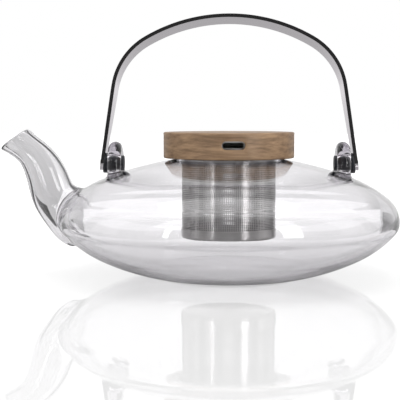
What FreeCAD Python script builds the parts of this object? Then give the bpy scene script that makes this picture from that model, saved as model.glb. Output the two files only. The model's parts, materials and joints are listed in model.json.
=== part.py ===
import FreeCAD, Part
import math
import os

# Glass teapot with a wooden lid, a perforated steel infuser and a swinging steel bail handle.
# Millimetres, Z up, origin at the middle of the base. The spout points to -X, the front is -Y.

# Blown glass vessel: joints of its arcs are shares of the way from base or neck to the equator
BODY_RADIUS = 95.0
EQUATOR_HEIGHT = 30.5
BASE_RADIUS = 40.0
GLASS_WALL = 2.3
EDGE_RADIUS = 8.0
EDGE_TURN = 40.0
BOWL_JOINT = (0.662, 0.39)
WAIST_JOINT = (0.9, 0.382)
SHOULDER_JOINT = (0.55, 0.737)
SHOULDER_TOP = 65.0

# Neck of the vessel
NECK_TOP = 70.0
NECK_FILLET = 0.8
RIM_ROUNDING = 0.6

# Spout: reach past the widest radius, height over the equator and outer radius at each station
SPOUT_STATIONS = (
    (-19.0, 1.0, 11.5),
    (-11.3, 0.8, 16.4),
    (-3.1, 6.1, 14.6),
    (3.8, 13.8, 12.5),
    (7.4, 23.6, 11.6),
    (13.0, 34.4, 9.9),
    (21.0, 42.4, 8.6),
)
SPOUT_WALL = 2.0
MOUTH_REACH = 26.1
MOUTH_HEIGHT = 46.1
MOUTH_TILT = 35.3
MOUTH_RADIUS = 9.4
SPOUT_HOLE_RADIUS = 11.0

# Glass ears that hold the handle
EAR_SHARE = 0.6716
EAR_ROD_RADIUS = 3.8
EAR_HOLE_RADIUS = 4.5
EAR_HOLE_RISE = 6.1
EAR_FOOT_RADIUS = 5.2
EAR_FOOT_HEIGHT = 2.4
EAR_FOOT_DEPTH = 6.0

# Steel infuser
INFUSER_RADIUS = 26.3
INFUSER_SHEET = 0.5
INFUSER_BOTTOM = 20.6
PAN_HEIGHT = 6.3
PAN_ROUNDING = 2.0
RIM_SHEET = 0.7
RIM_OVERHANG = 0.3
RIM_CLEARANCE = 1.2
RIM_COLLAR_DEPTH = 8.0

# Wooden lid with its steel liner and silicone seal
LID_WALL = 3.3
LID_DROP = 4.1
LID_HEIGHT = 14.4
LID_EDGE_ROUNDING = 0.8
LID_ROOF = 3.3
LINER_CLEARANCE = 2.9
LINER_SHEET = 0.6
LINER_LIFT = 0.8
SEAL_HEIGHT = 1.5
SEAL_WIDTH = 4.2
SLOT_LENGTH = 12.7
SLOT_HEIGHT = 4.5
SLOT_RISE = 7.8
SLOT_TURN = 4.0
LINER_SLOT_INSET = 0.7

# Bail handle: a steel strap on two sleeved pins
STRAP_THICKNESS = 2.0
STRAP_WIDTH = 17.5
STRAP_END_WIDTH = 8.0
STRAP_TAPER_HEIGHT = 40.0
HANDLE_RISE = 83.1
CROWN_RADIUS = 93.0
SHOULDER_RADIUS = 38.0
LEG_SLOPE = 8.5
HANDLE_LEAN = 8.0
SLEEVE_RADIUS = 4.2
SLEEVE_INNER_END = 4.9
COLLAR_RADIUS = 5.6
COLLAR_THICKNESS = 1.7
COLLAR_CLEARANCE = 0.6
PIN_RADIUS = 2.0
PIN_HEAD_RISE = 0.4
PIN_COVER = 1.2

X_AXIS = FreeCAD.Vector(1, 0, 0)
Y_AXIS = FreeCAD.Vector(0, 1, 0)
Z_AXIS = FreeCAD.Vector(0, 0, 1)
ORIGIN = FreeCAD.Vector(0, 0, 0)


def at(x, z, y=0.0):
    return FreeCAD.Vector(x, y, z)


def line(start, end):
    return Part.LineSegment(start, end).toShape()


def arc(start, middle, end):
    return Part.Arc(start, middle, end).toShape()


def spun(edges):
    """Solid of revolution about Z from the edges of a closed half profile."""
    face = Part.Face(Part.Wire(Part.__sortEdges__(edges)))
    return face.revolve(ORIGIN, Z_AXIS, 360)


def polygon_spun(points):
    corners = [at(radius, height) for radius, height in points]
    return spun([line(a, b) for a, b in zip(corners, corners[1:] + corners[:1])])


def ring(inner, outer, bottom, top):
    return polygon_spun([(inner, bottom), (outer, bottom), (outer, top), (inner, top)])


def quarter(centre, radius, from_degrees, to_degrees):
    """Circular arc about a centre in the XZ plane."""
    def point(degrees):
        turn = math.radians(degrees)
        return at(centre.x + radius * math.cos(turn), centre.z + radius * math.sin(turn))
    return arc(point(from_degrees), point((from_degrees + to_degrees) / 2), point(to_degrees))


# Glass vessel, blown as one wall of even thickness and drawn here in rings from base to neck

RIM_COLLAR_RADIUS = INFUSER_RADIUS + RIM_SHEET
NECK_INNER_RADIUS = RIM_COLLAR_RADIUS + RIM_CLEARANCE
NECK_OUTER_RADIUS = NECK_INNER_RADIUS + GLASS_WALL
NECK_ROOT = NECK_OUTER_RADIUS + NECK_FILLET


def between(low, high, share):
    return low + (high - low) * share


class WallArc:
    """One circular arc of the vessel's outer outline, which leaves its start along a given direction."""

    def __init__(self, start, direction, end):
        chord = end - start
        toward = FreeCAD.Vector(-direction.z, 0, direction.x)
        self.centre = start + toward * (chord.dot(chord) / (2 * chord.dot(toward)))
        self.radius = (start - self.centre).Length
        self.start = start
        self.end = end
        along = FreeCAD.Vector(chord).normalize()
        self.end_direction = along * (2 * direction.dot(along)) - direction

    def inner(self, point):
        """The point of the inner face behind a point of the outer face."""
        return point + (self.centre - point).normalize() * GLASS_WALL

    def middle(self, depth):
        bisector = (self.start + self.end) * 0.5 - self.centre
        return self.centre + bisector.normalize() * (self.radius - depth)

    def outer_edge(self):
        return arc(self.start, self.middle(0), self.end)

    def inner_edge(self):
        return arc(self.inner(self.start), self.middle(GLASS_WALL), self.inner(self.end))

    def height(self, radius):
        return self.centre.z + math.sqrt(self.radius ** 2 - (radius - self.centre.x) ** 2)


equator = at(BODY_RADIUS, EQUATOR_HEIGHT)
equator_inside = at(BODY_RADIUS - GLASS_WALL, EQUATOR_HEIGHT)
edge_turn = math.radians(EDGE_TURN)
edge_end = equator + at(math.cos(edge_turn) - 1, -math.sin(edge_turn)) * EDGE_RADIUS
base_edge = at(BASE_RADIUS, 0)
bowl_joint = at(between(BASE_RADIUS, BODY_RADIUS, BOWL_JOINT[0]), EQUATOR_HEIGHT * BOWL_JOINT[1])


def dome_joint(shares):
    radius = between(NECK_ROOT, BODY_RADIUS, shares[0])
    return at(radius, between(EQUATOR_HEIGHT, SHOULDER_TOP, shares[1]))


edge_arc = WallArc(equator, -Z_AXIS, edge_end)
bowl_arc = WallArc(edge_end, edge_arc.end_direction, bowl_joint)
base_arc = WallArc(bowl_joint, bowl_arc.end_direction, base_edge)
waist_arc = WallArc(equator, Z_AXIS, dome_joint(WAIST_JOINT))
shoulder_arc = WallArc(waist_arc.end, waist_arc.end_direction, dome_joint(SHOULDER_JOINT))
crown_arc = WallArc(shoulder_arc.end, shoulder_arc.end_direction, at(NECK_ROOT, SHOULDER_TOP))

vessel_filled = spun([
    line(ORIGIN, base_edge),
    base_arc.outer_edge(),
    bowl_arc.outer_edge(),
    edge_arc.outer_edge(),
    waist_arc.outer_edge(),
    shoulder_arc.outer_edge(),
    crown_arc.outer_edge(),
    line(crown_arc.end, at(0, SHOULDER_TOP)),
    line(at(0, SHOULDER_TOP), ORIGIN),
])

floor_edge = base_arc.inner(base_edge)
glass_base = spun([
    line(ORIGIN, base_edge),
    base_arc.outer_edge(),
    line(bowl_joint, base_arc.inner(bowl_joint)),
    base_arc.inner_edge(),
    line(floor_edge, at(0, floor_edge.z)),
    line(at(0, floor_edge.z), ORIGIN),
])
glass_bowl = spun([
    line(bowl_joint, bowl_arc.inner(bowl_joint)),
    bowl_arc.outer_edge(),
    edge_arc.outer_edge(),
    line(equator, equator_inside),
    edge_arc.inner_edge(),
    bowl_arc.inner_edge(),
])
glass_waist = spun([
    line(equator_inside, equator),
    waist_arc.outer_edge(),
    line(waist_arc.end, waist_arc.inner(waist_arc.end)),
    waist_arc.inner_edge(),
])
neck_inner_root = at(NECK_ROOT, SHOULDER_TOP - GLASS_WALL)
glass_shoulder = spun([
    line(waist_arc.inner(waist_arc.end), waist_arc.end),
    shoulder_arc.outer_edge(),
    crown_arc.outer_edge(),
    line(crown_arc.end, neck_inner_root),
    arc(neck_inner_root, crown_arc.middle(GLASS_WALL), crown_arc.inner(crown_arc.start)),
    shoulder_arc.inner_edge(),
])

fillet_centre = at(NECK_ROOT, SHOULDER_TOP + NECK_FILLET)
rim_low = NECK_TOP - RIM_ROUNDING
rim_outer = NECK_OUTER_RADIUS - RIM_ROUNDING
rim_inner = NECK_INNER_RADIUS + RIM_ROUNDING
glass_neck = spun([
    line(neck_inner_root, crown_arc.end),
    quarter(fillet_centre, NECK_FILLET, 270, 180),
    line(at(NECK_OUTER_RADIUS, fillet_centre.z), at(NECK_OUTER_RADIUS, rim_low)),
    quarter(at(rim_outer, rim_low), RIM_ROUNDING, 0, 90),
    line(at(rim_outer, NECK_TOP), at(rim_inner, NECK_TOP)),
    quarter(at(rim_inner, rim_low), RIM_ROUNDING, 90, 180),
    line(at(NECK_INNER_RADIUS, rim_low), at(NECK_INNER_RADIUS, fillet_centre.z)),
    quarter(fillet_centre, NECK_FILLET + GLASS_WALL, 180, 270),
])


# Glass spout, drawn out of a tube and fused over a round hole in the vessel

spout_centres = [at(-BODY_RADIUS - reach, EQUATOR_HEIGHT + rise) for reach, rise, radius in SPOUT_STATIONS]
mouth_centre = at(-BODY_RADIUS - MOUTH_REACH, EQUATOR_HEIGHT + MOUTH_HEIGHT)
mouth_normal = FreeCAD.Rotation(Y_AXIS, -MOUTH_TILT).multVec(Z_AXIS)


def spout_section(centre, normal, radius):
    circle = Part.Circle(centre, normal, radius)
    circle.XAxis = Y_AXIS
    return Part.Wire(circle.toShape())


def spout_tube(inset):
    """Solid tube through the stations, square to its middle line, ending in the tilted plane of the mouth."""
    path = Part.BSplineCurve()
    path.interpolate(Points=spout_centres + [mouth_centre])
    sections = []
    for centre, (reach, rise, radius) in zip(spout_centres, SPOUT_STATIONS):
        along = path.tangent(path.parameter(centre))[0]
        sections.append(spout_section(centre, along, radius - inset))
    sections.append(spout_section(mouth_centre, mouth_normal, MOUTH_RADIUS - inset))
    return Part.makeLoft(sections, True, False)


glass_spout = spout_tube(0).cut(spout_tube(SPOUT_WALL)).cut(vessel_filled)

first, second = spout_centres[:2]
hole_direction = second - first
spout_hole = Part.makeCylinder(SPOUT_HOLE_RADIUS, BODY_RADIUS, first, hole_direction)
glass_bowl = glass_bowl.cut(spout_hole)
glass_waist = glass_waist.cut(spout_hole)


# Glass ears: a bent rod with two flared feet on the shoulder

EAR_REACH = BODY_RADIUS * EAR_SHARE
EAR_BEND_RADIUS = EAR_HOLE_RADIUS + EAR_ROD_RADIUS


def dome_height(radius):
    """Height of the glass at a radius on the shoulder."""
    for wall in (waist_arc, shoulder_arc, crown_arc):
        if radius >= wall.end.x:
            return wall.height(radius)
    return SHOULDER_TOP


PIVOT_HEIGHT = dome_height(EAR_REACH) + EAR_HOLE_RISE


def glass_ear(side):
    pivot = at(side * EAR_REACH, PIVOT_HEIGHT)
    bend = Part.makeTorus(EAR_BEND_RADIUS, EAR_ROD_RADIUS, pivot, X_AXIS)
    height = EAR_BEND_RADIUS + EAR_ROD_RADIUS
    upper = Part.makeBox(4 * height, 4 * height, height, pivot - FreeCAD.Vector(2 * height, 2 * height, 0))
    rod = bend.common(upper)
    for way in (-1, 1):
        top = pivot + Y_AXIS * (way * EAR_BEND_RADIUS)
        leg_length = PIVOT_HEIGHT - EQUATOR_HEIGHT
        leg = Part.makeCylinder(EAR_ROD_RADIUS, leg_length, top - Z_AXIS * leg_length)
        shoulder = dome_height(math.hypot(EAR_REACH, EAR_BEND_RADIUS))
        foot_base = FreeCAD.Vector(top.x, top.y, shoulder - EAR_FOOT_HEIGHT)
        flare = Part.makeCone(EAR_FOOT_RADIUS, EAR_ROD_RADIUS, 2 * EAR_FOOT_HEIGHT, foot_base)
        root = Part.makeCylinder(EAR_FOOT_RADIUS, EAR_FOOT_DEPTH, foot_base - Z_AXIS * EAR_FOOT_DEPTH)
        rod = rod.fuse(leg).fuse(flare).fuse(root)
    return rod.removeSplitter().cut(vessel_filled)


# Steel infuser: sleeve, pan and hanging rim

RIM_FLANGE_RADIUS = NECK_OUTER_RADIUS + RIM_OVERHANG
FLANGE_TOP = NECK_TOP + RIM_SHEET
sleeve_bottom = INFUSER_BOTTOM + INFUSER_SHEET
infuser_wall = ring(INFUSER_RADIUS - INFUSER_SHEET, INFUSER_RADIUS, sleeve_bottom, FLANGE_TOP)

pan_outer = INFUSER_RADIUS + INFUSER_SHEET
pan_corner = at(pan_outer - PAN_ROUNDING, INFUSER_BOTTOM + PAN_ROUNDING)
pan_top = INFUSER_BOTTOM + PAN_HEIGHT
infuser_base = spun([
    line(at(0, INFUSER_BOTTOM), at(pan_corner.x, INFUSER_BOTTOM)),
    quarter(pan_corner, PAN_ROUNDING, -90, 0),
    line(at(pan_outer, pan_corner.z), at(pan_outer, pan_top)),
    line(at(pan_outer, pan_top), at(INFUSER_RADIUS, pan_top)),
    line(at(INFUSER_RADIUS, pan_top), at(INFUSER_RADIUS, sleeve_bottom)),
    line(at(INFUSER_RADIUS, sleeve_bottom), at(0, sleeve_bottom)),
    line(at(0, sleeve_bottom), at(0, INFUSER_BOTTOM)),
])

infuser_rim = polygon_spun([
    (INFUSER_RADIUS, NECK_TOP - RIM_COLLAR_DEPTH),
    (RIM_COLLAR_RADIUS, NECK_TOP - RIM_COLLAR_DEPTH),
    (RIM_COLLAR_RADIUS, NECK_TOP),
    (RIM_FLANGE_RADIUS, NECK_TOP),
    (RIM_FLANGE_RADIUS, FLANGE_TOP),
    (INFUSER_RADIUS, FLANGE_TOP),
])


# Turned wooden lid, its pressed steel liner and the seal it rests on

LINER_RADIUS = NECK_OUTER_RADIUS + LINER_CLEARANCE
LID_RADIUS = LINER_RADIUS + LID_WALL
LID_BOTTOM = NECK_TOP - LID_DROP
LID_TOP = LID_BOTTOM + LID_HEIGHT
SLOT_CENTRE = LID_BOTTOM + SLOT_RISE


def stadium_cutter(length, height):
    """Bar with round ends that passes through the front of the lid at the vent slot."""
    half = (length - height) / 2
    radius = height / 2
    depth = 2 * LID_RADIUS
    bar = Part.makeBox(2 * half, depth, height, FreeCAD.Vector(-half, -depth, SLOT_CENTRE - radius))
    for way in (-1, 1):
        end = FreeCAD.Vector(way * half, -depth, SLOT_CENTRE)
        bar = bar.fuse(Part.makeCylinder(radius, depth, end, Y_AXIS))
    bar = bar.removeSplitter()
    bar.rotate(ORIGIN, Z_AXIS, SLOT_TURN)
    return bar


def rounded_edges(solid, radius, wanted):
    edges = [edge for edge in solid.Edges if wanted(edge)]
    return solid.makeFillet(radius, edges)


def is_outer_lid_edge(edge):
    curve = edge.Curve
    return isinstance(curve, Part.Circle) and abs(curve.Radius - LID_RADIUS) < 1e-6


recess_roof = LID_TOP - LID_ROOF
lid_blank = Part.makeCylinder(LID_RADIUS, LID_TOP - LID_BOTTOM, at(0, LID_BOTTOM))
lid_blank = rounded_edges(lid_blank, LID_EDGE_ROUNDING, is_outer_lid_edge)
lid_recess = Part.makeCylinder(LINER_RADIUS, recess_roof - LID_BOTTOM, at(0, LID_BOTTOM))
lid_cap = lid_blank.cut(lid_recess).cut(stadium_cutter(SLOT_LENGTH, SLOT_HEIGHT))

liner_bottom = LID_BOTTOM + LINER_LIFT
liner_inner = LINER_RADIUS - LINER_SHEET
lid_liner = polygon_spun([
    (LINER_RADIUS, liner_bottom),
    (LINER_RADIUS, recess_roof),
    (0, recess_roof),
    (0, recess_roof - LINER_SHEET),
    (liner_inner, recess_roof - LINER_SHEET),
    (liner_inner, liner_bottom),
])
liner_slot = stadium_cutter(SLOT_LENGTH - 2 * LINER_SLOT_INSET, SLOT_HEIGHT - 2 * LINER_SLOT_INSET)
lid_liner = lid_liner.cut(liner_slot)

lid_seal = ring(liner_inner - SEAL_WIDTH, liner_inner, FLANGE_TOP, FLANGE_TOP + SEAL_HEIGHT)


# Bail handle, drawn upright in its own plane and then leaned back about its pivots

slope = math.radians(LEG_SLOPE)
collar_start = EAR_ROD_RADIUS + COLLAR_CLEARANCE
strap_inner = collar_start + COLLAR_THICKNESS
strap_outer = strap_inner + STRAP_THICKNESS
leg_outward = FreeCAD.Vector(math.cos(slope), 0, math.sin(slope))
leg_upward = FreeCAD.Vector(-math.sin(slope), 0, math.cos(slope))
pivot_right = at(EAR_REACH, PIVOT_HEIGHT)


def strap_outline(inset):
    """Foot, leg top, shoulder and crown points of the strap's right half, inset from its outer face."""
    leg_line = pivot_right + leg_outward * (strap_outer - inset)
    crown_centre = at(0, PIVOT_HEIGHT + HANDLE_RISE - CROWN_RADIUS)
    centre_line = pivot_right + leg_outward * (strap_outer - SHOULDER_RADIUS)
    reach = CROWN_RADIUS - SHOULDER_RADIUS
    offset = centre_line - crown_centre
    along = offset.dot(leg_upward)
    step = -along + math.sqrt(along ** 2 - offset.dot(offset) + reach ** 2)
    shoulder_centre = centre_line + leg_upward * step
    radius = SHOULDER_RADIUS - inset
    to_crown = (shoulder_centre - crown_centre).normalize()
    middle = (to_crown + leg_outward).normalize()
    leg_top = shoulder_centre + leg_outward * radius
    shoulder_middle = shoulder_centre + middle * radius
    shoulder_top = shoulder_centre + to_crown * radius
    crown_top = crown_centre + Z_AXIS * (CROWN_RADIUS - inset)
    leg_foot = leg_line - leg_upward * STRAP_WIDTH
    return leg_foot, leg_top, shoulder_middle, shoulder_top, crown_top


def mirrored(point):
    return FreeCAD.Vector(-point.x, point.y, point.z)


def strap_edges(inset):
    foot, leg_top, shoulder_middle, shoulder_top, crown_top = strap_outline(inset)
    edges = [arc(shoulder_top, crown_top, mirrored(shoulder_top))]
    for turn in (FreeCAD.Vector, mirrored):
        edges.append(line(turn(foot), turn(leg_top)))
        edges.append(arc(turn(leg_top), turn(shoulder_middle), turn(shoulder_top)))
    return edges, foot


outer_edges, outer_foot = strap_edges(0)
inner_edges, inner_foot = strap_edges(STRAP_THICKNESS)
feet = [line(outer_foot, inner_foot), line(mirrored(outer_foot), mirrored(inner_foot))]
front_face = Part.Face(Part.Wire(Part.__sortEdges__(outer_edges + inner_edges + feet)))
front_face.translate(Y_AXIS * (-STRAP_WIDTH / 2))
strap_band = front_face.extrude(Y_AXIS * STRAP_WIDTH)


def side_point(y, z):
    return FreeCAD.Vector(-BODY_RADIUS, y, z)


def strap_side_view():
    """Width of the strap seen from the side: round end, straight taper and parallel grip."""
    half_end = STRAP_END_WIDTH / 2
    half = STRAP_WIDTH / 2
    taper_top = PIVOT_HEIGHT + STRAP_TAPER_HEIGHT
    top = PIVOT_HEIGHT + HANDLE_RISE + STRAP_THICKNESS
    corners = [
        side_point(half_end, PIVOT_HEIGHT),
        side_point(half, taper_top),
        side_point(half, top),
        side_point(-half, top),
        side_point(-half, taper_top),
        side_point(-half_end, PIVOT_HEIGHT),
    ]
    edges = [line(a, b) for a, b in zip(corners, corners[1:])]
    edges.append(arc(corners[-1], side_point(0, PIVOT_HEIGHT - half_end), corners[0]))
    face = Part.Face(Part.Wire(edges))
    return face.extrude(X_AXIS * (2 * BODY_RADIUS))


def leaned(solid):
    solid.rotate(at(0, PIVOT_HEIGHT), X_AXIS, -HANDLE_LEAN)
    return solid


def on_side(side, point):
    return point if side > 0 else mirrored(point)


def side_cylinder(side, radius, start, end):
    """Cylinder along the handle's swing axis, between two distances outward from an ear."""
    base = on_side(side, pivot_right + X_AXIS * start)
    return Part.makeCylinder(radius, end - start, base, X_AXIS * side)


def beyond_collar(side):
    """Room outside the sloping inner face of the strap, where no sleeve reaches."""
    near = pivot_right + leg_outward * strap_inner
    far = near + leg_outward * STRAP_WIDTH
    side_reach = leg_upward * STRAP_WIDTH
    corners = [on_side(side, point) for point in (near - side_reach, far - side_reach, far + side_reach, near + side_reach)]
    outline = Part.makePolygon(corners + corners[:1])
    face = Part.Face(outline)
    face.translate(Y_AXIS * -STRAP_WIDTH)
    return face.extrude(Y_AXIS * (2 * STRAP_WIDTH))


handle_strap = strap_band.common(strap_side_view())
sleeves = {}
pins = {}
pin_inner_end = -SLEEVE_INNER_END + PIN_COVER
pin_outer_end = strap_outer / math.cos(slope) + PIN_HEAD_RISE
for side, name in ((-1, "left"), (1, "right")):
    pin = side_cylinder(side, PIN_RADIUS, pin_inner_end, pin_outer_end)
    handle_strap = handle_strap.cut(side_cylinder(side, PIN_RADIUS, pin_inner_end, pin_outer_end + STRAP_THICKNESS))
    shank = side_cylinder(side, SLEEVE_RADIUS, -SLEEVE_INNER_END, pin_outer_end)
    collar = side_cylinder(side, COLLAR_RADIUS, collar_start, pin_outer_end)
    sleeve = shank.fuse(collar).cut(beyond_collar(side)).cut(pin)
    sleeves[name] = leaned(sleeve.removeSplitter())
    pins[name] = leaned(pin)
handle_strap = leaned(handle_strap)

nodes = {
    "glass_base": glass_base,
    "glass_bowl": glass_bowl,
    "glass_waist": glass_waist,
    "glass_shoulder": glass_shoulder,
    "glass_neck": glass_neck,
    "glass_spout": glass_spout,
    "ear_left": glass_ear(-1),
    "ear_right": glass_ear(1),
    "infuser_wall": infuser_wall,
    "infuser_base": infuser_base,
    "infuser_rim": infuser_rim,
    "lid_cap": lid_cap,
    "lid_liner": lid_liner,
    "lid_seal": lid_seal,
    "handle_strap": handle_strap,
    "pivot_sleeve_left": sleeves["left"],
    "pivot_sleeve_right": sleeves["right"],
    "pivot_pin_left": pins["left"],
    "pivot_pin_right": pins["right"],
}

os.makedirs("parts", exist_ok=True)
for name, solid in nodes.items():
    print(name, "solids", len(solid.Solids), "valid", solid.isValid(), "volume", round(solid.Volume, 1))
    solid.exportStep("parts/" + name + ".step")
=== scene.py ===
import json
import math
import bmesh
import bpy
import numpy as np
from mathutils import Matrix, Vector
from mathutils.geometry import delaunay_2d_cdt

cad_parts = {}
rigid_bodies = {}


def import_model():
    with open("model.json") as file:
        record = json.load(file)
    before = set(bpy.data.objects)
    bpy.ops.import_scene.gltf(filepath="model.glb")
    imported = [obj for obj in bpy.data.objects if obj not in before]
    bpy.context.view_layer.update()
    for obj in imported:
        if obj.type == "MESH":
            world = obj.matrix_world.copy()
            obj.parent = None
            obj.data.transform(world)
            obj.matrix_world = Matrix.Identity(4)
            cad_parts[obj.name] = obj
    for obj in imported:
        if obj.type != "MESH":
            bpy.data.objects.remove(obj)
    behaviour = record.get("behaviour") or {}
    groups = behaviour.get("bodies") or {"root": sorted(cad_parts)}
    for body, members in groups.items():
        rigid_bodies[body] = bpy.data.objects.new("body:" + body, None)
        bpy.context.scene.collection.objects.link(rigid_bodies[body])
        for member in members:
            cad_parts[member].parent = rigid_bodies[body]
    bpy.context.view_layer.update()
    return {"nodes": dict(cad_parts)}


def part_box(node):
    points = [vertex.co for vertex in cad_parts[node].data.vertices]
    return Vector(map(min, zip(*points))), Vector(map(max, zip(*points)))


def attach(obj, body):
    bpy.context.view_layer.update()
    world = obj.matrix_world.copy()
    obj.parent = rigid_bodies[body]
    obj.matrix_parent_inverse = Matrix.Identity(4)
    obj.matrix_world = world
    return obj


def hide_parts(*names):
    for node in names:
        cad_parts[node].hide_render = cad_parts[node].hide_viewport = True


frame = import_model()
nodes = frame["nodes"]


# Glass vessel
# A low round pot of clear borosilicate glass, blown with a short neck for the lid and infuser.
# The spout and the two ears for the handle are drawn from tube and rod and fused on in the flame,
# so the whole is one continuous glass surface, drawn here in millimetres.

BODY_RADIUS = 95.0
EQUATOR_HEIGHT = 30.5
BASE_RADIUS = 40.0
GLASS_WALL = 2.3
EDGE_RADIUS = 8.0
EDGE_TURN = 40.0
BOWL_JOINT = (76.41, 11.895)
WAIST_JOINT = (88.63, 43.679)
SHOULDER_JOINT = (66.335, 55.927)
CROWN_END = (31.3, 65.0)
NECK_INNER_RADIUS = 28.2
NECK_TOP = 70.0
NECK_BLEND = 2.0
RIM_ROUNDING = 0.6
RING_SPACING = 1.2
BLEND_STEPS = 8
RIM_STEPS = 5
FLOOR_SHARES = (0.0, 0.25, 0.5, 0.75)
NECK_OUTER_RADIUS = NECK_INNER_RADIUS + GLASS_WALL


def bezier(start, corner, end, steps):
    """Points of a curve that leaves start toward corner and reaches end from it."""
    shares = np.linspace(0, 1, steps)[:, None]
    return (1 - shares) ** 2 * start + 2 * shares * (1 - shares) * corner + shares ** 2 * end


def arc_points(centre, radius, from_degrees, to_degrees, steps):
    """Points of an arc round a centre, between two angles."""
    turns = np.radians(np.linspace(from_degrees, to_degrees, steps))
    return np.stack([centre[0] + radius * np.cos(turns), centre[1] + radius * np.sin(turns)], 1)


def wall_arc(start, direction, end):
    """Outer and inner points of a wall arc that leaves start along a direction, and its end direction."""
    chord = np.subtract(end, start)
    toward = np.array([-direction[1], direction[0]])
    centre = start + toward * chord.dot(chord) / (2 * chord.dot(toward))
    radius = np.linalg.norm(start - centre)
    first = math.atan2(*(start - centre)[::-1])
    swing = math.atan2(*(end - centre)[::-1]) - first
    steps = math.ceil(radius * abs(swing) / RING_SPACING) + 1
    turns = first + np.linspace(0, swing, steps)
    rays = np.stack([np.cos(turns), np.sin(turns)], 1)
    along = chord / np.linalg.norm(chord)
    end_direction = along * 2 * along.dot(direction) - direction
    return centre + rays * radius, centre + rays * (radius - GLASS_WALL), end_direction


equator = np.array([BODY_RADIUS, EQUATOR_HEIGHT])
edge_turn = math.radians(EDGE_TURN)
edge_end = equator + EDGE_RADIUS * np.array([math.cos(edge_turn) - 1, -math.sin(edge_turn)])
edge, edge_inside, edge_way = wall_arc(equator, np.array([0.0, -1.0]), edge_end)
bowl, bowl_inside, bowl_way = wall_arc(edge_end, edge_way, BOWL_JOINT)
foot, foot_inside, foot_way = wall_arc(bowl[-1], bowl_way, (BASE_RADIUS, 0.0))
waist, waist_inside, waist_way = wall_arc(equator, np.array([0.0, 1.0]), WAIST_JOINT)
shoulder, shoulder_inside, shoulder_way = wall_arc(waist[-1], waist_way, SHOULDER_JOINT)
crown, crown_inside, crown_way = wall_arc(shoulder[-1], shoulder_way, CROWN_END)


def joined(*arcs):
    """One curve from arcs that follow each other."""
    return np.vstack([arcs[0]] + [arc[1:] for arc in arcs[1:]])


outer_curve = joined(foot[::-1], bowl[::-1], edge[::-1], waist, shoulder, crown)
inner_curve = joined(foot_inside[::-1], bowl_inside[::-1], edge_inside[::-1],
                     waist_inside, shoulder_inside, crown_inside)


def neck_blend(end, radius):
    """Curve from the end of the shoulder up into the straight neck."""
    corner = end + crown_way * (radius - end[0]) / crown_way[0]
    return bezier(end, corner, corner + (0.0, NECK_BLEND), BLEND_STEPS)[1:]


rim_low = NECK_TOP - RIM_ROUNDING
base_rings = np.array([(BASE_RADIUS * share, 0.0) for share in FLOOR_SHARES])
floor_rings = np.array([(BASE_RADIUS * share, inner_curve[0][1]) for share in FLOOR_SHARES[::-1]])
rim_outer = arc_points((NECK_OUTER_RADIUS - RIM_ROUNDING, rim_low), RIM_ROUNDING, 0, 90, RIM_STEPS)
rim_inner = arc_points((NECK_INNER_RADIUS + RIM_ROUNDING, rim_low), RIM_ROUNDING, 90, 180, RIM_STEPS)
neck_outside = neck_blend(outer_curve[-1], NECK_OUTER_RADIUS)
neck_inside = neck_blend(inner_curve[-1], NECK_INNER_RADIUS)
profile = np.vstack([base_rings, outer_curve, neck_outside, rim_outer,
                     rim_inner, neck_inside[::-1], inner_curve[::-1], floor_rings])
stations = np.concatenate([[0.0], np.cumsum(np.linalg.norm(np.diff(profile, axis=0), axis=1))])

# Where the wall's outer and inner curves begin and end in the profile
OUTER_SPAN = (len(base_rings), len(base_rings) + len(outer_curve))
INNER_SPAN = (len(profile) - len(floor_rings) - len(inner_curve), len(profile) - len(floor_rings))
SLOPE_REACH = 0.2
HALVINGS = 24


def nearest_station(radius, height, span):
    """Distance along the profile of the nearest point on one of its curves."""
    low, high = span
    starts, ends = profile[low:high - 1], profile[low + 1:high]
    steps = ends - starts
    share = np.clip(((np.array([radius, height]) - starts) * steps).sum(1) / (steps ** 2).sum(1), 0, 1)
    gaps = np.linalg.norm(starts + steps * share[:, None] - (radius, height), axis=1)
    k = int(gaps.argmin())
    return stations[low + k] + share[k] * (stations[low + k + 1] - stations[low + k])


def on_profile(station):
    """Radius and height of the profile at a distance along it."""
    return np.array([np.interp(station, stations, profile[:, axis]) for axis in (0, 1)])


def seated(point, span):
    """A point moved to the nearest place on the wall, with the wall's outward normal there."""
    reach = math.hypot(point[0], point[1])
    station = nearest_station(reach, point[2], span)
    radius, height = on_profile(station)
    along = on_profile(station + SLOPE_REACH) - on_profile(station - SLOPE_REACH)
    along /= np.linalg.norm(along)
    east, north = point[0] / reach, point[1] / reach
    place = np.array([radius * east, radius * north, height])
    return place, np.array([along[1] * east, along[1] * north, -along[0]])


def is_inside(point, span):
    """Whether a point lies inside one of the wall's two curves."""
    curve = profile[span[0]:span[1]]
    if curve[0][1] > curve[-1][1]:
        curve = curve[::-1]
    widest = int(curve[:, 0].argmax())
    reach = math.hypot(point[0], point[1])
    if reach >= curve[widest][0]:
        return False
    low = np.interp(reach, curve[:widest + 1, 0], curve[:widest + 1, 1])
    high = np.interp(-reach, -curve[widest:, 0], curve[widest:, 1])
    return low < point[2] < high


def wall_crossing(path, span):
    """The point where a path of points first goes into the pot's wall, and the number of points before it."""
    for k, point in enumerate(path):
        if is_inside(point, span):
            break
    out, into = path[k - 1], path[k]
    for halving in range(HALVINGS):
        middle = (out + into) / 2
        if is_inside(middle, span):
            into = middle
        else:
            out = middle
    return out, k


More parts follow.
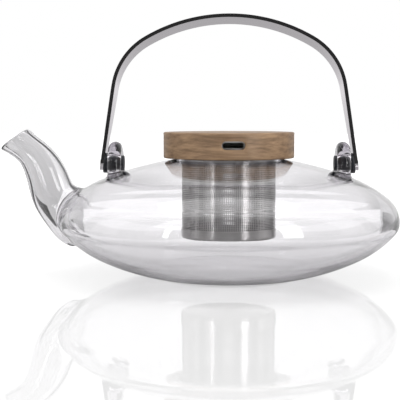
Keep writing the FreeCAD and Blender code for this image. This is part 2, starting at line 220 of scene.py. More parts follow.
class GlassMesh:
    """Vertices and faces of the glass, gathered ring by ring."""

    def __init__(self):
        self.points = []
        self.faces = []

    def ring(self, points):
        """Adds points and returns their numbers."""
        first = len(self.points)
        self.points.extend(tuple(p) for p in points)
        return list(range(first, len(self.points)))

    def strip(self, lower, upper):
        """Adds the faces between two closed rings of equal length."""
        for k in range(len(lower)):
            after = (k + 1) % len(lower)
            self.faces.append((lower[k], lower[after], upper[after], upper[k]))

    def tube(self, rings, start=None):
        """Strips between rings of points, from a ring that is there already where one is given."""
        last = start
        for points in rings:
            ids = self.ring(points)
            if last:
                self.strip(last, ids)
            last = ids
        return last


glass = GlassMesh()
SPOUT_SIDES = 72
FILLET_STEPS = 9
sides = np.radians(np.arange(SPOUT_SIDES) * 360.0 / SPOUT_SIDES)


def root_fillet(paths, span, back_off, spread, outward):
    """Each tube path's last point before the wall, and a curve from it that ends along the wall."""
    crossings = [wall_crossing(path, span) for path in paths]
    centre = np.mean([c[0] for c in crossings], axis=0)
    fillets = []
    for path, (corner, k) in zip(paths, crossings):
        place, normal = seated(corner, span)
        away = (place - centre) * outward
        away -= normal * away.dot(normal)
        away /= np.linalg.norm(away)
        end = seated(place + away * spread, span)[0]
        start = path[k - 1]
        gone = np.linalg.norm(start - corner)
        while gone < back_off:
            k -= 1
            start = path[k - 1]
            gone = np.linalg.norm(start - corner)
        start = corner + (start - corner) * min(1.0, back_off / gone)
        fillets.append((k - 1, bezier(start, corner, end, FILLET_STEPS)))
    return fillets


def resampled(path, count):
    """A path's points, spaced evenly."""
    gaps = np.concatenate([[0.0], np.cumsum(np.linalg.norm(np.diff(path, axis=0), axis=1))])
    places = np.linspace(0, gaps[-1], count)
    return np.stack([np.interp(places, gaps, path[:, axis]) for axis in range(3)], 1)


# Spout: reach past the widest radius, height over the equator and outer radius at each station
SPOUT_STATIONS = (
    (-19.0, 1.0, 11.5),
    (-11.3, 0.8, 16.4),
    (-3.1, 6.1, 14.6),
    (3.8, 13.8, 12.5),
    (7.4, 23.6, 11.6),
    (13.0, 34.4, 9.9),
    (21.0, 42.4, 8.6),
)
MOUTH = (26.1, 46.1, 9.4)
MOUTH_TILT = 35.3
SPOUT_WALL = 2.0
SPOUT_RINGS = 90
LIP_SKIP = 5
LINE_SAMPLES = 400


def smooth_curve(rows, count):
    """Points of a natural cubic spline through rows of numbers, spaced by the first two columns."""
    rows = np.array(rows, float)
    spans = np.linalg.norm(np.diff(rows[:, :2], axis=0), axis=1)
    knots = np.concatenate([[0.0], np.cumsum(spans)])
    size = len(rows)
    system = np.eye(size)
    bends = np.zeros_like(rows)
    for k in range(1, size - 1):
        before, after = spans[k - 1], spans[k]
        system[k, k - 1:k + 2] = before, 2 * (before + after), after
        bends[k] = 6 * ((rows[k + 1] - rows[k]) / after - (rows[k] - rows[k - 1]) / before)
    curvature = np.linalg.solve(system, bends)
    places = np.linspace(0, knots[-1], count)
    span = np.clip(np.searchsorted(knots, places) - 1, 0, size - 2)
    width = spans[span][:, None]
    past = (places - knots[span])[:, None]
    left = width - past
    low, high = curvature[span], curvature[span + 1]
    bent = (low * left ** 3 + high * past ** 3) / (6 * width)
    from_left = (rows[span] / width - low * width / 6) * left
    from_right = (rows[span + 1] / width - high * width / 6) * past
    return bent + from_left + from_right


def spout_rows():
    """Middle line, radius and section angle of the spout from its mouth to its root."""
    places = []
    for reach, rise, radius in SPOUT_STATIONS + (MOUTH,):
        places.append((-BODY_RADIUS - reach, EQUATOR_HEIGHT + rise, radius))
    line = smooth_curve([(x, z) for x, z, radius in places], LINE_SAMPLES)
    along = np.gradient(line, axis=0)
    rows = []
    for x, z, radius in places:
        k = int(np.linalg.norm(line - (x, z), axis=1).argmin())
        rows.append((x, z, radius, math.atan2(-along[k][0], along[k][1])))
    rows[-1] = places[-1] + (math.radians(MOUTH_TILT),)
    return smooth_curve(rows, SPOUT_RINGS)[::-1]


def spout_ring(x, z, radius, angle):
    """Round section of the spout at a place on its middle line, tilted by an angle."""
    up = np.array([math.cos(angle), 0, math.sin(angle)])
    centre = np.array([x, 0, z])
    return [centre + radius * (math.cos(turn) * up + math.sin(turn) * np.array([0, 1, 0])) for turn in sides]


spout_line = spout_rows()
spout_outside = np.array([spout_ring(*row) for row in spout_line])
spout_inside = np.array([spout_ring(x, z, radius - SPOUT_WALL, angle) for x, z, radius, angle in spout_line])


def tube_onto_wall(rings, span, back_off, spread, outward, body_steps):
    """Rings of a tube that ends in a fillet on the wall, evenly spaced along each side of the tube."""
    paths = [rings[:, k] for k in range(rings.shape[1])]
    columns = []
    for path, (k, fillet) in zip(paths, root_fillet(paths, span, back_off, spread, outward)):
        stretch = resampled(np.vstack([path[:k + 1], fillet[:1]]), body_steps)
        columns.append(np.vstack([stretch, fillet[1:]]))
    return np.array(columns).transpose(1, 0, 2)


def surface_rings(start, end, span, steps):
    """Rings that run over the wall between two rings that lie on it."""
    rings = []
    for share in np.linspace(0, 1, steps + 2)[1:-1]:
        rings.append([seated(a + (b - a) * share, span)[0] for a, b in zip(start, end)])
    return rings


# The root flares outward onto the wall, and its bore closes in a little where it meets the wall
FLARE_OUT = 1
CLOSE_IN = -1
outside_rings = tube_onto_wall(spout_outside[LIP_SKIP:], OUTER_SPAN, back_off=5.0, spread=3.4,
                               outward=FLARE_OUT, body_steps=70)
inside_rings = tube_onto_wall(spout_inside[LIP_SKIP:], OUTER_SPAN, back_off=2.0, spread=1.1,
                              outward=CLOSE_IN, body_steps=60)

# The mouth's edge is melted round between the tube's two faces
LIP_STEPS = 7
mouth_normal = np.array([-math.sin(math.radians(MOUTH_TILT)), 0, math.cos(math.radians(MOUTH_TILT))])
lip_half = SPOUT_WALL / 2
lip_rings = []
for turn in np.linspace(0, math.pi, LIP_STEPS):
    radius = MOUTH[2] - lip_half + lip_half * math.cos(turn)
    raised = mouth_normal * lip_half * (math.sin(turn) - 1)
    x, z, outer_radius, angle = spout_line[0]
    lip_rings.append([point + raised for point in spout_ring(x, z, radius, angle)])

spout_root_ids = glass.tube(outside_rings, glass.tube(lip_rings[::-1]))
lip_inner_ids = list(range(SPOUT_SIDES))
bore_ids = glass.tube(inside_rings, lip_inner_ids)

# The hole that was opened through the pot's wall inside the spout's root
HOLE_SHARE = 0.8
HOLE_ROUNDING = 0.8
HOLE_EDGE_STEPS = 5
HOLE_FACE_RINGS = 3
SEARCH_FROM = 2.0
SEARCH_TO = -14.0
SEARCH_STEPS = 40
hole_axis = np.array([-1.0, 0.0, 0.0])
bore_end = inside_rings[-1]
hole_middle = bore_end.mean(axis=0)
hole_outer = [seated(hole_middle + HOLE_SHARE * (point - hole_middle), OUTER_SPAN)[0] for point in bore_end]
hole_inner = []
for point in hole_outer:
    inward = [point + hole_axis * step for step in np.linspace(SEARCH_FROM, SEARCH_TO, SEARCH_STEPS)]
    hole_inner.append(wall_crossing(inward, INNER_SPAN)[0])
outer_edge, inner_edge = [], []
for corner, deep in zip(hole_outer, hole_inner):
    through = (deep - corner) / np.linalg.norm(deep - corner)
    radial = corner - hole_middle
    radial -= hole_axis * radial.dot(hole_axis)
    radial /= np.linalg.norm(radial)
    flat = seated(corner + radial * HOLE_ROUNDING, OUTER_SPAN)[0]
    outer_edge.append(bezier(flat, corner, corner + through * HOLE_ROUNDING, HOLE_EDGE_STEPS))
    lip_end = seated(deep + radial * HOLE_ROUNDING, INNER_SPAN)[0]
    inner_edge.append(bezier(deep - through * HOLE_ROUNDING, deep, lip_end, HOLE_EDGE_STEPS))
outer_edge = np.array(outer_edge).transpose(1, 0, 2)
inner_edge = np.array(inner_edge).transpose(1, 0, 2)
face_rings = surface_rings(bore_end, outer_edge[0], OUTER_SPAN, HOLE_FACE_RINGS)
hole_ids = glass.tube(face_rings, bore_ids)
hole_ids = glass.tube(outer_edge, hole_ids)
hole_ids = glass.tube(inner_edge, hole_ids)

# Ears: a bent rod, whose two feet flare where they are fused to the shoulder
EAR_REACH = 63.802
EAR_ROD_RADIUS = 3.8
EAR_HOLE_RADIUS = 4.5
EAR_HOLE_RISE = 6.1
EAR_SIDES = 32
EAR_BEND_STEPS = 28
EAR_LEG = 20.0
EAR_LEG_STEPS = 60
EAR_BEND_RADIUS = EAR_HOLE_RADIUS + EAR_ROD_RADIUS
ear_turns = np.radians(np.arange(EAR_SIDES) * 360.0 / EAR_SIDES)
dome = outer_curve[outer_curve[:, 0].argmax():][::-1]
PIVOT_HEIGHT = np.interp(EAR_REACH, dome[:, 0], dome[:, 1]) + EAR_HOLE_RISE
ear_feet = []


def ear_ring(side, bend, drop):
    """Ring of the rod, at an angle round its bend and a distance down one of its legs."""
    out = np.array([0, -math.cos(bend), math.sin(bend)])
    centre = np.array([side * EAR_REACH, 0, PIVOT_HEIGHT - drop]) + EAR_BEND_RADIUS * out
    across = np.array([1, 0, 0])
    rays = [math.cos(turn) * out + math.sin(turn) * across for turn in ear_turns]
    return np.array([centre + EAR_ROD_RADIUS * ray for ray in rays])


for side in (-1, 1):
    middle_ids = None
    drops = np.linspace(0, EAR_LEG, EAR_LEG_STEPS)
    for end_bend in (0.0, math.pi):
        leg = np.array([ear_ring(side, end_bend, drop) for drop in drops])
        bends = np.linspace(math.pi / 2, end_bend, EAR_BEND_STEPS // 2)
        top_rings = [ear_ring(side, bend, 0) for bend in bends]
        rings = np.vstack([np.array(top_rings), leg[1:]])
        fused = tube_onto_wall(rings, OUTER_SPAN, back_off=2.6, spread=1.9, outward=FLARE_OUT, body_steps=26)
        if middle_ids is None:
            middle_ids = glass.ring(fused[0])
        ear_feet.append(glass.tube(fused[1:], middle_ids))


# The turned surface of the pot, with its openings for the spout and for the feet of the ears
TURN_STEPS = 200
CLEAR_SHARE = 0.6
TOUCHING = 1e-7


def inside_loop(point, loop):
    """Whether a flat point lies inside a closed loop of points."""
    x, y = point[0], point[1]
    starts, ends = loop, np.roll(loop, -1, axis=0)
    crosses = (starts[:, 1] > y) != (ends[:, 1] > y)
    rise = np.where(crosses, ends[:, 1] - starts[:, 1], 1.0)
    meets = starts[:, 0] + (y - starts[:, 1]) / rise * (ends[:, 0] - starts[:, 0])
    return bool((crosses & (x < meets)).sum() % 2)


class TurnedWall:
    """Grid of points round the pot, where patches round openings are filled with triangles."""

    def __init__(self):
        self.ids = {}
        self.patches = []
        self.turn = 2 * math.pi / TURN_STEPS

    def vertex(self, column, row):
        """Number of the grid's point in a column and row, made when it is first asked for."""
        radius, height = profile[row]
        key = (0 if radius == 0 else column % TURN_STEPS, row)
        if key not in self.ids:
            angle = column * self.turn
            point = (radius * math.cos(angle), radius * math.sin(angle), height)
            self.ids[key] = glass.ring([point])[0]
        return self.ids[key]

    def open_for(self, loop, span, middle_angle):
        """Replaces the grid round a loop of vertices on the wall by triangles that end at the loop."""
        scale = max(profile[span[0]:span[1], 0].mean(), 1)
        flat = []
        for vertex in loop:
            x, y, z = glass.points[vertex]
            angle = math.atan2(y, x)
            angle += 2 * math.pi * round((middle_angle - angle) / (2 * math.pi))
            flat.append((angle * scale, nearest_station(math.hypot(x, y), z, span)))
        flat = np.array(flat)
        low, high = flat.min(0), flat.max(0)
        columns = (math.floor(low[0] / scale / self.turn) - 1, math.ceil(high[0] / scale / self.turn) + 1)
        rows = (int(np.searchsorted(stations, low[1])) - 2, int(np.searchsorted(stations, high[1])) + 1)
        self.patches.append((columns, rows))
        border = [(column, rows[0]) for column in range(columns[0], columns[1])]
        border += [(columns[1], row) for row in range(rows[0], rows[1])]
        border += [(column, rows[1]) for column in range(columns[1], columns[0], -1)]
        border += [(columns[0], row) for row in range(rows[1], rows[0], -1)]
        inner = [(column, row) for column in range(columns[0] + 1, columns[1])
                 for row in range(rows[0] + 1, rows[1])]
        room = CLEAR_SHARE * self.turn * scale

        def place(cell):
            return np.array([cell[0] * self.turn * scale, stations[cell[1]]])

        inner = [cell for cell in inner if not inside_loop(place(cell), flat)
                 and np.linalg.norm(flat - place(cell), axis=1).min() > room]
        cells = border + inner
        corners = [Vector(place(cell)) for cell in cells] + [Vector(point) for point in flat]
        wanted = [self.vertex(*cell) for cell in cells] + list(loop)
        size, count = len(border), len(cells)
        edges = [(k, (k + 1) % size) for k in range(size)]
        edges += [(count + k, count + (k + 1) % len(loop)) for k in range(len(loop))]
        filled = delaunay_2d_cdt(corners, edges, [], 0, TOUCHING)
        places, faces, sources = filled[0], filled[2], filled[3]
        for face in faces:
            middle = np.mean([places[k] for k in face], axis=0)
            if not inside_loop(middle, flat):
                glass.faces.append(tuple(wanted[sources[k][0]] for k in face))

    def fill(self):
        """The plain faces of the grid, outside the patches."""
        for row in range(len(profile) - 1):
            for column in range(TURN_STEPS):
                if any(self.covers(patch, column, row) for patch in self.patches):
                    continue
                corners = [self.vertex(column, row), self.vertex(column + 1, row),
                           self.vertex(column + 1, row + 1), self.vertex(column, row + 1)]
                glass.faces.append(tuple(dict.fromkeys(corners)))

    def covers(self, patch, column, row):
        """Whether a patch takes the place of one face of the grid."""
        columns, rows = patch
        beside = (column - columns[0]) % TURN_STEPS
        return beside < columns[1] - columns[0] and rows[0] <= row < rows[1]


wall = TurnedWall()
wall.open_for(spout_root_ids, OUTER_SPAN, math.pi)
wall.open_for(hole_ids, INNER_SPAN, math.pi)
for loop in ear_feet:
    middle = np.mean([glass.points[k] for k in loop], axis=0)
    wall.open_for(loop, OUTER_SPAN, math.atan2(middle[1], middle[0]))
wall.fill()
MILLIMETRE = 0.001


def new_piece(name, points, faces, body, slot):
    """A smooth-shaded mesh from millimetre points, riding on a body."""
    mesh = bpy.data.meshes.new(name)
    mesh.from_pydata([tuple(MILLIMETRE * part for part in point) for point in points], [], faces)
    work = bmesh.new()
    work.from_mesh(mesh)
    bmesh.ops.remove_doubles(work, verts=work.verts, dist=TOUCHING)
    bmesh.ops.recalc_face_normals(work, faces=work.faces)
    work.to_mesh(mesh)
    work.free()
    mesh.shade_smooth()
    piece = bpy.data.objects.new(name, mesh)
    bpy.context.collection.objects.link(piece)
    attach(piece, body)
    return piece


glass_vessel = new_piece("glass_vessel", glass.points, glass.faces, "pot", "clear_glass")
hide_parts("glass_base", "glass_bowl", "glass_waist", "glass_shoulder", "glass_neck",
            "glass_spout", "ear_left", "ear_right")


def new_material(name, color, roughness):
    """A material with one principled shader, and its node tree and shader."""
    material = bpy.data.materials.new(name)
    material.use_nodes = True
    tree = material.node_tree
    shader = tree.nodes["Principled BSDF"]
    shader.inputs["Base Color"].default_value = (*color, 1)
    shader.inputs["Roughness"].default_value = roughness
    return material, tree, shader


def add_node(tree, kind, inputs=(), **settings):
    """A node with named settings, whose inputs are values or other nodes' outputs."""
    node = tree.nodes.new(kind)
    for key, value in settings.items():
        setattr(node, key, value)
    for key, value in dict(inputs).items():
        if isinstance(value, bpy.types.NodeSocket):
            tree.links.new(value, node.inputs[key])
        else:
            node.inputs[key].default_value = value
    return node


clear_glass, tree, shader = new_material("clear_glass", (1.0, 1.0, 1.0), 0.0)
shader.inputs["Transmission Weight"].default_value = 1.0
shader.inputs["IOR"].default_value = 1.47
place = add_node(tree, "ShaderNodeTexCoord")
waves = add_node(tree, "ShaderNodeTexNoise", {
    "Vector": place.outputs["Object"], "Scale": 28.0, "Detail": 2.0})
ripple = add_node(tree, "ShaderNodeBump", {
    "Height": waves.outputs["Fac"], "Strength": 0.02, "Distance": 0.002})
tree.links.new(ripple.outputs["Normal"], shader.inputs["Normal"])
depth = add_node(tree, "ShaderNodeVolumeAbsorption", {"Color": (0.785, 0.767, 0.80, 1), "Density": 150.0})
tree.links.new(depth.outputs["Volume"], tree.nodes["Material Output"].inputs["Volume"])
glass_vessel.data.materials.append(clear_glass)


# Infuser sleeve
# A tube rolled from thin stainless sheet with a square grid of punched holes.
# It stands in the pan below and hangs from the rim above; its inner face and the holes are rougher, and
# painted darker as painted shade.

SLEEVE_RADIUS = 26.3
SLEEVE_SHEET = 0.5
HOLES_ROUND = 140
HOLE_ROWS = 32
HOLE_RADIUS = 0.36
HOLES_BOTTOM = 27.4
HOLE_PITCH = 1.1
HOLE_CORNERS = 8
CREASE = math.radians(40)
wall_low, wall_high = (corner[2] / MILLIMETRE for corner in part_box("infuser_wall")[:2])


def perforated_sleeve():
    """Points and faces of the tube: eight corners round each hole, on both faces and through the sheet."""
    points, faces, index = [], [], {}
    step = 2 * math.pi / HOLES_ROUND

    def vertex(key, turn, height, depth):
        """Number of the point under a key, made when it is first asked for."""
        if key not in index:
            radius = SLEEVE_RADIUS - depth
            index[key] = len(points)
            points.append((radius * math.cos(turn), radius * math.sin(turn), height))
        return index[key]

    def lattice(column, row, layer):
        """Corner or edge middle of a cell, counted in half cells."""
        column %= 2 * HOLES_ROUND
        key = (column, row, layer)
        return vertex(key, column * step / 2, HOLES_BOTTOM + row * HOLE_PITCH / 2, layer * SLEEVE_SHEET)

    around = [(1, 0), (1, 1), (0, 1), (-1, 1), (-1, 0), (-1, -1), (0, -1), (1, -1)]
    for column in range(HOLES_ROUND):
        for row in range(HOLE_ROWS):
            loops = []
            for layer in (0, 1):
                border = [lattice(2 * column + 1 + a, 2 * row + 1 + b, layer) for a, b in around]
                hole = []
                for k in range(HOLE_CORNERS):
                    side = 2 * math.pi * k / HOLE_CORNERS
                    turn = (column + 0.5) * step + HOLE_RADIUS * math.cos(side) / SLEEVE_RADIUS
                    height = HOLES_BOTTOM + (row + 0.5) * HOLE_PITCH + HOLE_RADIUS * math.sin(side)
                    hole.append(vertex((column, row, layer, k, "hole"), turn, height, layer * SLEEVE_SHEET))
                for k in range(HOLE_CORNERS):
                    after = (k + 1) % HOLE_CORNERS
                    faces.append((border[k], border[after], hole[after], hole[k]))
                loops.append(hole)
            for k in range(HOLE_CORNERS):
                after = (k + 1) % HOLE_CORNERS
                faces.append((loops[0][k], loops[0][after], loops[1][after], loops[1][k]))
    rows = {"low": 0, "high": 2 * HOLE_ROWS}
    for half in range(2 * HOLES_ROUND):
        for end, edge in (("low", wall_low), ("high", wall_high)):
            ring = []
            for column in (half, half + 1):
                turn = column % (2 * HOLES_ROUND)
                outer = vertex((turn, end, 0), turn * step / 2, edge, 0)
                inner = vertex((turn, end, 1), turn * step / 2, edge, SLEEVE_SHEET)
                ring.append((lattice(column, rows[end], 0), outer, inner, lattice(column, rows[end], 1)))
            for k in range(3):
                faces.append((ring[0][k], ring[1][k], ring[1][k + 1], ring[0][k + 1]))
    return points, faces


infuser_sleeve = new_piece("infuser_sleeve", *perforated_sleeve(), "infuser", "infuser_steel")
infuser_sleeve.data.set_sharp_from_angle(angle=CREASE)
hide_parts("infuser_wall")


def two_tones(tree, shader, factor, dark, light, low=0.0, high=1.0):
    """Colours a shader by a ramp between two tones, over part of a factor's range."""
    ramp = add_node(tree, "ShaderNodeValToRGB", {"Fac": factor})
    for stop, position, tone in zip(ramp.color_ramp.elements, (low, high), (dark, light)):
        stop.position = position
        stop.color = (*tone, 1)
    tree.links.new(ramp.outputs["Color"], shader.inputs["Base Color"])


def steel(name, color, roughness, stretch, wear):
    """Steel with fine brushed lines: noise stretched along the way it was brushed."""
    material, tree, shader = new_material(name, color, roughness)
    shader.inputs["Metallic"].default_value = 1.0
    place = add_node(tree, "ShaderNodeTexCoord")
    drawn = add_node(tree, "ShaderNodeMapping", {"Vector": place.outputs["Object"], "Scale": stretch})
    lines = add_node(tree, "ShaderNodeTexNoise", {
        "Vector": drawn.outputs["Vector"], "Scale": 1.0, "Detail": 4.0})
    dark, light = (tuple(part * share for part in color) for share in (1 - wear, 1 + wear))
    two_tones(tree, shader, lines.outputs["Fac"], dark, light, low=0.3, high=0.7)
    grain = add_node(tree, "ShaderNodeBump", {
        "Height": lines.outputs["Fac"], "Strength": 0.05, "Distance": 0.0002})
    tree.links.new(grain.outputs["Normal"], shader.inputs["Normal"])
    return material


ROLLED = (60.0, 60.0, 4000.0)
OUTER_FACE = 0.7
infuser_steel = steel("infuser_steel", (0.42, 0.41, 0.405), roughness=0.28, stretch=ROLLED, wear=0.1)
tree = infuser_steel.node_tree
shader = tree.nodes["Principled BSDF"]
shader.inputs["Anisotropic"].default_value = 0.9
shader.inputs["Anisotropic Rotation"].default_value = 0.25
round_about = add_node(tree, "ShaderNodeTangent", direction_type="RADIAL", axis="Z")
tree.links.new(round_about.outputs["Tangent"], shader.inputs["Tangent"])
# Painted shade: the inner face and the walls of the holes get a much darker steel, for the shade that falls
# inside the tube and in its holes.
infuser_inside_painted_shade = steel("infuser_inside_painted_shade", (0.17, 0.166, 0.162), roughness=0.45, stretch=ROLLED, wear=0.1)
infuser_sleeve.data.materials.append(infuser_steel)
infuser_sleeve.data.materials.append(infuser_inside_painted_shade)
# Faces that don't face outward, the inner face and the hole walls, take the darker steel of the painted
# shade.
for face in infuser_sleeve.data.polygons:
    outward = Vector((face.center.x, face.center.y, 0)).normalized()
    face.material_index = 0 if face.normal.dot(outward) > OUTER_FACE else 1


# Infuser pan and rim
# Two pressed stainless pieces: the pan closes the sleeve's foot, the rim hangs it in the glass neck.
# Both are spot welded to the sleeve.

WELD_DISTANCE = 1e-6
FLAT_WITHIN = math.radians(0.05)
ROUND_STEPS = 3


def dress(node, material):
    """Gives a carried-over piece its material and returns it."""
    piece = nodes[node]
    piece.data.materials.clear()
    piece.data.materials.append(material)
    return piece


def round_edges(piece, radius):
    """Smooth shading and a small round, in metres, on the sharp edges of a carried-over piece."""
    piece.data.shade_smooth()
    weld = piece.modifiers.new("weld", "WELD")
    weld.merge_threshold = WELD_DISTANCE
    flats = piece.modifiers.new("flats", "DECIMATE")
    flats.decimate_type = "DISSOLVE"
    flats.angle_limit = FLAT_WITHIN
    bevel = piece.modifiers.new("edge_round", "BEVEL")
    bevel.width = radius
    bevel.segments = ROUND_STEPS
    bevel.limit_method = "ANGLE"
    bevel.angle_limit = CREASE
    bevel.harden_normals = True


for node in ("infuser_base", "infuser_rim"):
    dress(node, infuser_steel)


# Wooden lid
# A disc turned from one piece of brown hardwood, with a vent slot in its front.
# Its top and bottom edges are broken with a small round.

GRAIN_TILT = math.radians(14)
GRAIN_SCALE = (30.0, 120.0, 420.0)
DARK_GRAIN = (0.19, 0.112, 0.06)
LIGHT_GRAIN = (0.41, 0.26, 0.145)
lid_wood, tree, shader = new_material("lid_wood", (0.22, 0.14, 0.08), roughness=0.5)
place = add_node(tree, "ShaderNodeTexCoord")
along = add_node(tree, "ShaderNodeMapping", {
    "Vector": place.outputs["Object"], "Rotation": (0, GRAIN_TILT, 0), "Scale": GRAIN_SCALE})
figure = add_node(tree, "ShaderNodeTexNoise", {
    "Vector": along.outputs["Vector"], "Scale": 1.0, "Detail": 6.0, "Roughness": 0.65})
two_tones(tree, shader, figure.outputs["Fac"], DARK_GRAIN, LIGHT_GRAIN, low=0.36, high=0.66)
pores = add_node(tree, "ShaderNodeBump", {
    "Height": figure.outputs["Fac"], "Strength": 0.12, "Distance": 0.0004})
tree.links.new(pores.outputs["Normal"], shader.inputs["Normal"])
round_edges(dress("lid_cap", lid_wood), radius=0.0003)


# Lid liner and seal
# A cup pressed from thin steel lines the recess under the wooden lid.
# A ring moulded from pale silicone sits in it and rests on the infuser's rim.

liner_steel = steel("liner_steel", (0.8, 0.79, 0.78), roughness=0.35, stretch=ROLLED, wear=0.05)
round_edges(dress("lid_liner", liner_steel), radius=0.0001)


def silicone(name, dark, light, roughness, grain):
    """Moulded silicone with a faint mottle between two tones."""
    material, tree, shader = new_material(name, light, roughness)
    place = add_node(tree, "ShaderNodeTexCoord")
    mottle = add_node(tree, "ShaderNodeTexNoise", {
        "Vector": place.outputs["Object"], "Scale": grain, "Detail": 3.0})
    two_tones(tree, shader, mottle.outputs["Fac"], dark, light)
    return material


seal_silicone = silicone("seal_silicone", (0.55, 0.54, 0.51), (0.68, 0.67, 0.64), roughness=0.55, grain=400.0)
round_edges(dress("lid_seal", seal_silicone), radius=0.0003)


# Bail handle
# One strip of 2 mm stainless steel, tapered at its ends, bent over a form and polished along its length.
# A steel pin is riveted through each end.

LENGTHWISE = (25.0, 1500.0, 25.0)
UNBRUSHED = (25.0, 25.0, 25.0)
handle_steel = steel("handle_steel", (0.62, 0.605, 0.62), roughness=0.09, stretch=LENGTHWISE, wear=0.06)
shader = handle_steel.node_tree.nodes["Principled BSDF"]
shader.inputs["Specular Tint"].default_value = (0.92, 0.90, 0.92, 1)
dress("handle_strap", handle_steel)
pin_steel = steel("pin_steel", (0.06, 0.06, 0.065), roughness=0.35, stretch=UNBRUSHED, wear=0.1)
for node in ("pivot_pin_left", "pivot_pin_right"):
    round_edges(dress(node, pin_steel), radius=0.0004)


# Pivot sleeves
# Two short sleeves moulded from black silicone, pushed over the handle's pins.
# Each has a collar that keeps the steel off the glass ear.

sleeve_silicone = silicone("sleeve_silicone", (0.010, 0.012, 0.017), (0.022, 0.025, 0.032),
                           roughness=0.5, grain=900.0)
for node in ("pivot_sleeve_left", "pivot_sleeve_right"):
    round_edges(dress(node, sleeve_silicone), radius=0.0004)


# Table and studio
# A plain glossy table, whose pale look is lifted for the eye and for what is seen through the glass.
# Two soft boxes stand in front at the sides and one hangs above, in a white surround.

TABLE_HALF = 4.0
TABLE_DROP = 0.0001
TABLE_LIFT = 0.41


def flat_sheet(name, corners, material):
    """A sheet of the scenery with four corners."""
    mesh = bpy.data.meshes.new(name)
    mesh.from_pydata(corners, [], [(0, 1, 2, 3)])
    mesh.materials.append(material)
    sheet = bpy.data.objects.new(name, mesh)
    bpy.context.collection.objects.link(sheet)
    return sheet


def worked_out(tree, operation, first, second):
    """The output of one piece of arithmetic on two values."""
    return add_node(tree, "ShaderNodeMath", {0: first, 1: second}, operation=operation).outputs["Value"]


table_top, tree, shader = new_material("table_top", (0.45, 0.45, 0.45), roughness=0.015)
shader.inputs["Emission Color"].default_value = (1, 1, 1, 1)
rays = add_node(tree, "ShaderNodeLightPath")
seen = worked_out(tree, "MAXIMUM", rays.outputs["Is Camera Ray"], rays.outputs["Is Transmission Ray"])
tree.links.new(worked_out(tree, "MULTIPLY", seen, TABLE_LIFT), shader.inputs["Emission Strength"])
quarters = [(-1, -1), (1, -1), (1, 1), (-1, 1)]
table_corners = [(x * TABLE_HALF, y * TABLE_HALF, -TABLE_DROP) for x, y in quarters]
table = flat_sheet("table", table_corners, table_top)


def soft_box(name, place, aim, width, height, watts):
    """A flat rectangular lamp that faces a point and isn't seen by the camera."""
    lamp = bpy.data.lights.new(name, "AREA")
    lamp.shape = "RECTANGLE"
    lamp.size = width
    lamp.size_y = height
    lamp.energy = watts
    box = bpy.data.objects.new(name, lamp)
    box.visible_camera = False
    box.location = place
    box.rotation_euler = (Vector(aim) - Vector(place)).to_track_quat("-Z", "Y").to_euler()
    bpy.context.collection.objects.link(box)


POT_MIDDLE = (0.0, 0.0, 0.06)
soft_box("left_box", (-0.80, -0.98, 0.35), POT_MIDDLE, width=0.08, height=1.0, watts=2.0)
soft_box("right_box", (0.80, -0.94, 0.35), POT_MIDDLE, width=0.30, height=1.0, watts=5.0)
soft_box("top_box", (0.0, 0.1, 1.5), POT_MIDDLE, width=1.2, height=1.0, watts=6.0)

# The table doesn't mirror the two boxes at the sides
unlit = bpy.data.collections.new("unlit_by_side_boxes")
unlit.objects.link(table)
unlit.collection_objects[0].light_linking.link_state = "EXCLUDE"
for name in ("left_box", "right_box"):
    bpy.data.objects[name].light_linking.receiver_collection = unlit

# Cards behind the pot on both sides, seen only through the glass: tall grey ones that tint it, and low
# black ones that draw a dark line in its edges. Each has a shade, a grey level, the places of its inner
# and outer ends from left to right, its distance behind the pot's middle and its height, in metres.
CARDS = [("grey", 0.85, -0.106, -0.50, 0.12, 0.25),
         ("grey", 0.80, 0.112, 0.50, 0.12, 0.25),
         ("black", 0.02, -0.130, -0.45, 0.10, 0.024),
         ("black", 0.02, 0.110, 0.45, 0.10, 0.033)]
for shade, level, inner, outer, behind, height in CARDS:
    card_paper, tree, shader = new_material(shade + "_card", (level, level, level), roughness=0.9)
    corners = [(inner, 0.0), (outer, 0.0), (outer, height), (inner, height)]
    card = flat_sheet(shade + "_card", [(x, behind, z) for x, z in corners], card_paper)
    card.visible_camera = False
    card.visible_diffuse = False
    card.visible_glossy = False
    card.visible_shadow = False


def graded(tree, value, start, end, start_level, end_level):
    """A value's range turned evenly into a range of levels, and held at both ends."""
    return add_node(tree, "ShaderNodeMapRange", {
        "Value": value, "From Min": start, "From Max": end,
        "To Min": start_level, "To Max": end_level}).outputs["Result"]


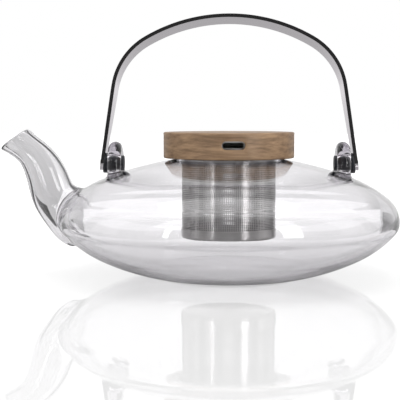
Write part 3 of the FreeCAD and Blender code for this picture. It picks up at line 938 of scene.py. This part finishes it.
# The surround is white to the eye. Seen through glass it has dark upright strips and a shaded front,
# and seen in a mirror its front is dark, as where the camera stands.
STRIP_TURN = math.pi / 8
world = bpy.data.worlds.new("surround")
bpy.context.scene.world = world
world.use_nodes = True
tree = world.node_tree
tree.nodes.clear()
way = add_node(tree, "ShaderNodeTexCoord")
parts = add_node(tree, "ShaderNodeSeparateXYZ", {"Vector": way.outputs["Generated"]})
rays = add_node(tree, "ShaderNodeLightPath")
around = worked_out(tree, "ARCTAN2", parts.outputs["X"], parts.outputs["Y"])
from_strip = worked_out(tree, "PINGPONG", around, STRIP_TURN)
strips = graded(tree, from_strip, start=0.17, end=0.23, start_level=1.0, end_level=0.06)
shaded_front = graded(tree, parts.outputs["Y"], start=-0.96, end=-0.82, start_level=0.4, end_level=1.0)
dark_front = graded(tree, parts.outputs["Y"], start=-0.7, end=-0.1, start_level=0.03, end_level=0.95)
through_glass = worked_out(tree, "MULTIPLY", strips, shaded_front)
white = (1, 1, 1, 1)
surface = add_node(tree, "ShaderNodeBackground", {"Color": white, "Strength": 0.95})
views = {"Is Glossy Ray": dark_front, "Is Transmission Ray": through_glass, "Is Camera Ray": white}
for ray, color in views.items():
    view = add_node(tree, "ShaderNodeBackground", {"Color": color, "Strength": 1.0})
    surface = add_node(tree, "ShaderNodeMixShader", {
        0: rays.outputs[ray], 1: surface.outputs[0], 2: view.outputs[0]})
add_node(tree, "ShaderNodeOutputWorld", {"Surface": surface.outputs[0]})


# Camera
# It stands in front of the pot, a little above it, and looks slightly down and to the left.
# Its place and its long lens were fitted to the outline of the pot in the photograph.

LENS_PIXELS = 1003.7
PICTURE_PIXELS = 400.0
SENSOR_WIDTH = 36.0
CAMERA_PLACE = (0.0, -0.565, 0.0904)
LOOK_DOWN = 4.9
LOOK_LEFT = 1.643
lens = bpy.data.cameras.new("camera")
lens.lens = SENSOR_WIDTH * LENS_PIXELS / PICTURE_PIXELS
lens.sensor_width = SENSOR_WIDTH
lens.clip_start = 0.01
camera = bpy.data.objects.new("camera", lens)
camera.location = CAMERA_PLACE
camera.rotation_euler = (math.radians(90 - LOOK_DOWN), 0, math.radians(LOOK_LEFT))
bpy.context.collection.objects.link(camera)
bpy.context.scene.camera = camera
bpy.context.scene.view_settings.view_transform = "Standard"
